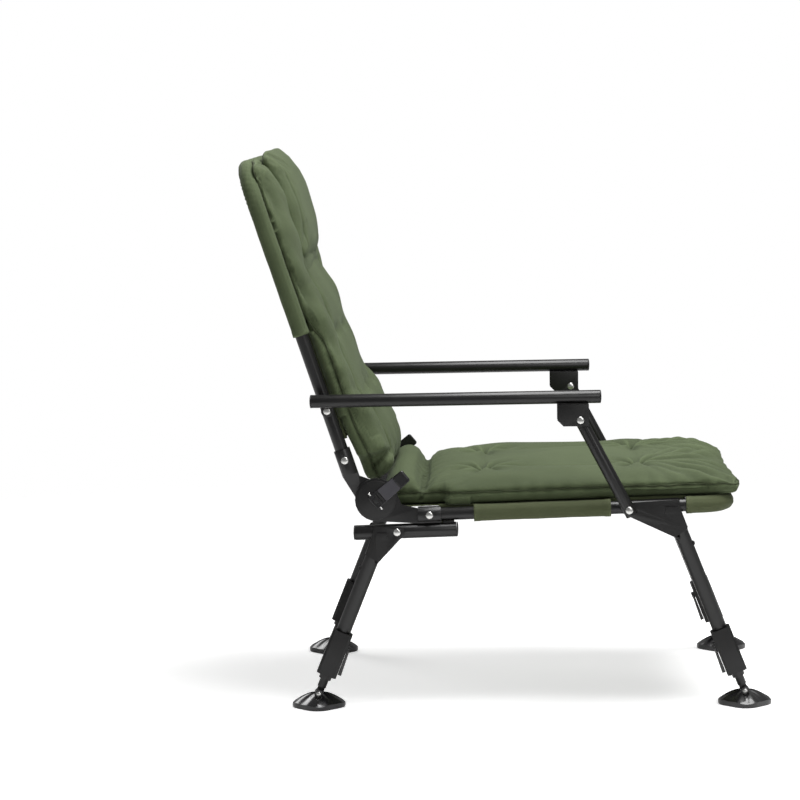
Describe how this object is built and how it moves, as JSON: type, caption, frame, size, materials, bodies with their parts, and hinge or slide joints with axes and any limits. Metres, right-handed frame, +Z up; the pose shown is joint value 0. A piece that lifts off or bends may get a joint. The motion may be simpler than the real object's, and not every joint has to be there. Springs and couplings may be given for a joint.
{
  "type": "folding fishing chair",
  "caption": "Reclining padded carp fishing chair with arm rests, a folding steel tube frame, telescopic legs and tilting mud feet.",
  "frame": {"origin": "on the ground under the middle of the bounding box, feet flat on the ground", "axes": "+X forward, +Y to the sitter's left, +Z up"},
  "size_m": [0.8828, 0.5966, 0.9224],
  "materials": {
    "frame_paint": "satin",
    "black_plastic": "satin",
    "foot_plastic": "gloss",
    "rivet_steel": "satin",
    "sling_fabric": "woven",
    "cushion_fabric": "woven"
  },
  "bodies": {
    "frame": {"seat_frame": "frame_paint", "rear_cross_tube": "frame_paint", "seat_sling": "sling_fabric", "seat_cushion": "cushion_fabric", "rear_stay_left": "frame_paint", "hinge_base_left": "frame_paint", "hinge_cap_left": "black_plastic", "rail_rivet_left": "rivet_steel", "leg_rivet_front_left": "rivet_steel", "leg_rivet_rear_left": "rivet_steel", "rear_stay_right": "frame_paint", "hinge_base_right": "frame_paint", "hinge_cap_right": "black_plastic", "rail_rivet_right": "rivet_steel", "leg_rivet_front_right": "rivet_steel", "leg_rivet_rear_right": "rivet_steel"},
    "back": {"back_frame": "frame_paint", "back_sling": "sling_fabric", "back_cushion": "cushion_fabric", "hinge_back_left": "frame_paint", "back_rivet_left": "rivet_steel", "arm_rivet_left": "rivet_steel", "hinge_back_right": "frame_paint", "back_rivet_right": "rivet_steel", "arm_rivet_right": "rivet_steel"},
    "arm_left": {"arm_rest_left": "frame_paint", "arm_bracket_left": "black_plastic", "post_head_rivet_left": "rivet_steel"},
    "post_left": {"arm_post_left": "frame_paint"},
    "lever_left": {"recline_lever_left": "black_plastic"},
    "leg_rear_left": {"leg_rear_left": "frame_paint", "leg_collar_rear_left": "black_plastic"},
    "inner_leg_rear_left": {"leg_inner_rear_left": "frame_paint", "foot_pin_rear_left": "rivet_steel"},
    "foot_rear_left": {"foot_rear_left": "foot_plastic"},
    "lock_rear_left": {"leg_lock_rear_left": "black_plastic"},
    "leg_front_left": {"leg_front_left": "frame_paint", "leg_collar_front_left": "black_plastic"},
    "inner_leg_front_left": {"leg_inner_front_left": "frame_paint", "foot_pin_front_left": "rivet_steel"},
    "foot_front_left": {"foot_front_left": "foot_plastic"},
    "lock_front_left": {"leg_lock_front_left": "black_plastic"},
    "arm_right": {"arm_rest_right": "frame_paint", "arm_bracket_right": "black_plastic", "post_head_rivet_right": "rivet_steel"},
    "post_right": {"arm_post_right": "frame_paint"},
    "lever_right": {"recline_lever_right": "black_plastic"},
    "leg_rear_right": {"leg_rear_right": "frame_paint", "leg_collar_rear_right": "black_plastic"},
    "inner_leg_rear_right": {"leg_inner_rear_right": "frame_paint", "foot_pin_rear_right": "rivet_steel"},
    "foot_rear_right": {"foot_rear_right": "foot_plastic"},
    "lock_rear_right": {"leg_lock_rear_right": "black_plastic"},
    "leg_front_right": {"leg_front_right": "frame_paint", "leg_collar_front_right": "black_plastic"},
    "inner_leg_front_right": {"leg_inner_front_right": "frame_paint", "foot_pin_front_right": "rivet_steel"},
    "foot_front_right": {"foot_front_right": "foot_plastic"},
    "lock_front_right": {"leg_lock_front_right": "black_plastic"}
  },
  "joints": [
    {"name": "back_recline", "type": "hinge", "parent": "frame", "child": "back", "pos_m": [-0.2154, 0, 0.35], "axis": [0, -1, 0], "range_deg": [0, 62]},
    {"name": "arm_swing_left", "type": "hinge", "parent": "back", "child": "arm_left", "pos_m": [-0.29499, 0.273, 0.50102], "axis": [0, -1, 0], "range_deg": [-62, 0]},
    {"name": "post_swing_left", "type": "hinge", "parent": "frame", "child": "post_left", "pos_m": [0.20347, 0.283, 0.33327], "axis": [0, -1, 0], "range_deg": [0, 62]},
    {"name": "recline_lever_left", "type": "hinge", "parent": "frame", "child": "lever_left", "pos_m": [-0.2154, 0.265, 0.35], "axis": [0, -1, 0], "range_deg": [0, 20], "stiffness_Nm_per_rad": 0.4, "springref_deg": -11.46},
    {"name": "leg_fold_rear_left", "type": "hinge", "parent": "frame", "child": "leg_rear_left", "pos_m": [-0.18164, 0.25, 0.29601], "axis": [0, -1, 0], "range_deg": [0, 90]},
    {"name": "leg_slide_rear_left", "type": "slide", "parent": "leg_rear_left", "child": "inner_leg_rear_left", "axis": [-0.3746, 0, -0.9272], "range_m": [0, 0.12]},
    {"name": "foot_tilt_rear_left", "type": "hinge", "parent": "inner_leg_rear_left", "child": "foot_rear_left", "pos_m": [-0.3169, 0.25, 0.022], "axis": [0, -1, 0], "range_deg": [-15, 15]},
    {"name": "leg_lock_rear_left", "type": "hinge", "parent": "leg_rear_left", "child": "lock_rear_left", "pos_m": [-0.26492, 0.25, 0.09807], "axis": [0, -1, 0], "range_deg": [0, 25], "stiffness_Nm_per_rad": 0.03, "springref_deg": -17.19},
    {"name": "leg_fold_front_left", "type": "hinge", "parent": "frame", "child": "leg_front_left", "pos_m": [0.20347, 0.25, 0.33327], "axis": [0, -1, 0], "range_deg": [-105, 0]},
    {"name": "leg_slide_front_left", "type": "slide", "parent": "leg_front_left", "child": "inner_leg_front_left", "axis": [0.3665, 0, -0.9304], "range_m": [0, 0.12]},
    {"name": "foot_tilt_front_left", "type": "hinge", "parent": "inner_leg_front_left", "child": "foot_front_left", "pos_m": [0.3966, 0.25, 0.022], "axis": [0, -1, 0], "range_deg": [-15, 15]},
    {"name": "leg_lock_front_left", "type": "hinge", "parent": "leg_front_left", "child": "lock_front_left", "pos_m": [0.34529, 0.25, 0.09852], "axis": [0, -1, 0], "range_deg": [-25, 0], "stiffness_Nm_per_rad": 0.03, "springref_deg": 17.19},
    {"name": "arm_swing_right", "type": "hinge", "parent": "back", "child": "arm_right", "pos_m": [-0.29499, -0.273, 0.50102], "axis": [0, -1, 0], "range_deg": [-62, 0]},
    {"name": "post_swing_right", "type": "hinge", "parent": "frame", "child": "post_right", "pos_m": [0.20347, -0.283, 0.33327], "axis": [0, -1, 0], "range_deg": [0, 62]},
    {"name": "recline_lever_right", "type": "hinge", "parent": "frame", "child": "lever_right", "pos_m": [-0.2154, -0.265, 0.35], "axis": [0, -1, 0], "range_deg": [0, 20], "stiffness_Nm_per_rad": 0.4, "springref_deg": -11.46},
    {"name": "leg_fold_rear_right", "type": "hinge", "parent": "frame", "child": "leg_rear_right", "pos_m": [-0.18164, -0.25, 0.29601], "axis": [0, -1, 0], "range_deg": [0, 90]},
    {"name": "leg_slide_rear_right", "type": "slide", "parent": "leg_rear_right", "child": "inner_leg_rear_right", "axis": [-0.3746, 0, -0.9272], "range_m": [0, 0.12]},
    {"name": "foot_tilt_rear_right", "type": "hinge", "parent": "inner_leg_rear_right", "child": "foot_rear_right", "pos_m": [-0.3169, -0.25, 0.022], "axis": [0, -1, 0], "range_deg": [-15, 15]},
    {"name": "leg_lock_rear_right", "type": "hinge", "parent": "leg_rear_right", "child": "lock_rear_right", "pos_m": [-0.26492, -0.25, 0.09807], "axis": [0, -1, 0], "range_deg": [0, 25], "stiffness_Nm_per_rad": 0.03, "springref_deg": -17.19},
    {"name": "leg_fold_front_right", "type": "hinge", "parent": "frame", "child": "leg_front_right", "pos_m": [0.20347, -0.25, 0.33327], "axis": [0, -1, 0], "range_deg": [-105, 0]},
    {"name": "leg_slide_front_right", "type": "slide", "parent": "leg_front_right", "child": "inner_leg_front_right", "axis": [0.3665, 0, -0.9304], "range_m": [0, 0.12]},
    {"name": "foot_tilt_front_right", "type": "hinge", "parent": "inner_leg_front_right", "child": "foot_front_right", "pos_m": [0.3966, -0.25, 0.022], "axis": [0, -1, 0], "range_deg": [-15, 15]},
    {"name": "leg_lock_front_right", "type": "hinge", "parent": "leg_front_right", "child": "lock_front_right", "pos_m": [0.34529, -0.25, 0.09852], "axis": [0, -1, 0], "range_deg": [-25, 0], "stiffness_Nm_per_rad": 0.03, "springref_deg": 17.19}
  ],
  "couplings": [
    {"joint": "arm_swing_left", "follows": "back_recline", "ratio": -1},
    {"joint": "post_swing_left", "follows": "back_recline", "ratio": 1},
    {"joint": "arm_swing_right", "follows": "back_recline", "ratio": -1},
    {"joint": "post_swing_right", "follows": "back_recline", "ratio": 1}
  ]
}
